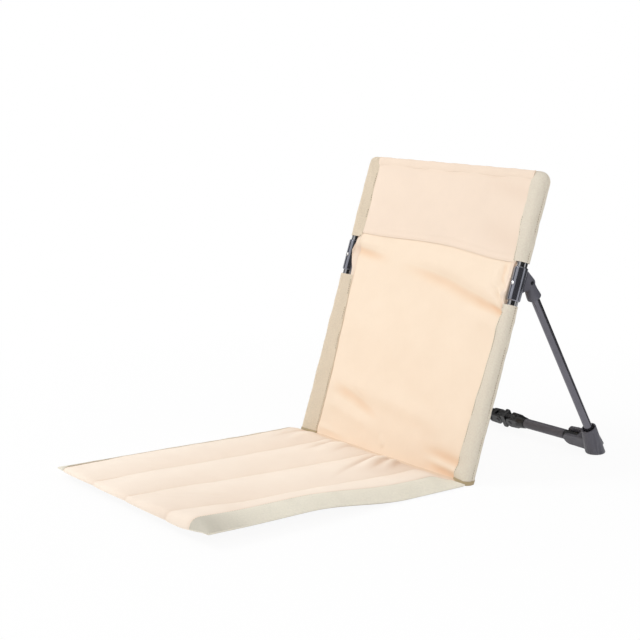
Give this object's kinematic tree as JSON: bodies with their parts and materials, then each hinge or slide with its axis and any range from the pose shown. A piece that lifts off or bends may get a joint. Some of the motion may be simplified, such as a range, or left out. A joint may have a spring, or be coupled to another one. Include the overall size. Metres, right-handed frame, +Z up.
{
  "type": "folding floor chair",
  "caption": "Folding camping chair that sits on the ground: padded channelled seat mat, reclined cloth back on sleeved poles, propped by hinged legs and a folding crossbar.",
  "frame": {"origin": "on the ground, under the middle of the chair's box", "axes": "+Z up; -Y the way the sitter faces, so +Y runs back to the feet; +X the sitter's left"},
  "size_m": [0.4722, 0.8494, 0.5079],
  "materials": {
    "black_gloss_tube": "gloss black coat on a bent-free tube",
    "grey_satin_tube": "satin grey coat",
    "gunmetal_plastic": "gunmetal, glossy",
    "grey_plastic": "moulded, matt grey",
    "black_plastic": "moulded, matt black",
    "steel": "bright, domed rivet heads",
    "peach_cloth": "plain weave, peach cream",
    "blush_cloth": "plain weave, slightly pinker, double layer",
    "cream_cloth": "plain weave over foam, pale cream",
    "beige_webbing": "close rib weave, beige",
    "khaki_binding": "sewn tape, khaki",
    "base_cloth": "coarse weave, grey beige"
  },
  "bodies": {
    "left_side": {"pole_left": "black_gloss_tube", "pole_bottom_plug_left": "black_plastic", "pole_top_plug_left": "black_plastic", "bracket_left": "gunmetal_plastic", "bracket_rivet_left": "steel", "leg_pin_left": "steel", "lower_sleeve_left": "beige_webbing", "upper_sleeve_left": "beige_webbing", "sleeve_binding_left": "khaki_binding", "back_panel": "peach_cloth", "headrest_panel": "blush_cloth", "top_hem": "blush_cloth", "seat_hinge_strip": "khaki_binding"},
    "left_leg": {"leg_knuckle_left": "grey_plastic", "leg_left": "grey_satin_tube", "foot_left": "grey_plastic", "foot_pin_left": "steel"},
    "left_bar": {"crossbar_left": "grey_satin_tube", "crossbar_tongue_left": "black_plastic", "crossbar_fork_left": "black_plastic"},
    "middle_hinge": {"crossbar_hinge_block": "black_plastic", "crossbar_hinge_pin_left": "steel", "crossbar_hinge_pin_right": "steel"},
    "right_bar": {"crossbar_right": "grey_satin_tube", "crossbar_tongue_right": "black_plastic", "crossbar_fork_right": "black_plastic"},
    "right_leg": {"leg_knuckle_right": "grey_plastic", "leg_right": "grey_satin_tube", "foot_right": "grey_plastic", "foot_pin_right": "steel"},
    "right_side": {"pole_right": "black_gloss_tube", "pole_bottom_plug_right": "black_plastic", "pole_top_plug_right": "black_plastic", "bracket_right": "gunmetal_plastic", "bracket_rivet_right": "steel", "leg_pin_right": "steel", "lower_sleeve_right": "beige_webbing", "upper_sleeve_right": "beige_webbing", "sleeve_binding_right": "khaki_binding"},
    "seat": {"seat_pad": "cream_cloth", "seat_border_left": "beige_webbing", "seat_border_right": "beige_webbing", "seat_underside": "base_cloth"}
  },
  "joints": [
    {"name": "leg_fold", "type": "hinge", "parent": "left_side", "child": "left_leg", "pos_m": [0.2189, 0.22523, 0.32397], "axis": [-1, 0, 0], "range_deg": [0, 44]},
    {"name": "frame_fold", "type": "hinge", "parent": "left_leg", "child": "left_bar", "pos_m": [0.1769, 0.40286, 0.02], "axis": [0, 0.8634, 0.5045], "range_deg": [0, 85], "deforming": ["back_panel", "headrest_panel", "top_hem", "seat_hinge_strip", "seat_pad", "seat_border_left", "seat_border_right", "seat_underside"]},
    {"name": "middle_hinge_left", "type": "hinge", "parent": "left_bar", "child": "middle_hinge", "pos_m": [0.016, 0.40286, 0.02], "axis": [0, 0.8634, 0.5045], "range_deg": [-85, 0]},
    {"name": "middle_hinge_right", "type": "hinge", "parent": "middle_hinge", "child": "right_bar", "pos_m": [-0.016, 0.40286, 0.02], "axis": [0, 0.8634, 0.5045], "range_deg": [-85, 0]},
    {"name": "right_foot_hinge", "type": "hinge", "parent": "right_bar", "child": "right_leg", "pos_m": [-0.1769, 0.40286, 0.02], "axis": [0, 0.8634, 0.5045], "range_deg": [0, 85]},
    {"name": "right_leg_fold", "type": "hinge", "parent": "right_leg", "child": "right_side", "pos_m": [-0.2189, 0.22523, 0.32397], "axis": [-1, 0, 0], "range_deg": [-44, 0]},
    {"name": "seat_fold", "type": "hinge", "parent": "left_side", "child": "seat", "pos_m": [0, 0.07952, 0.002], "axis": [-1, 0, 0], "range_deg": [0, 85]}
  ],
  "couplings": [
    {"joint": "middle_hinge_left", "follows": "frame_fold", "ratio": -1},
    {"joint": "middle_hinge_right", "follows": "frame_fold", "ratio": -1},
    {"joint": "right_foot_hinge", "follows": "frame_fold", "ratio": 1},
    {"joint": "right_leg_fold", "follows": "leg_fold", "ratio": -1}
  ]
}
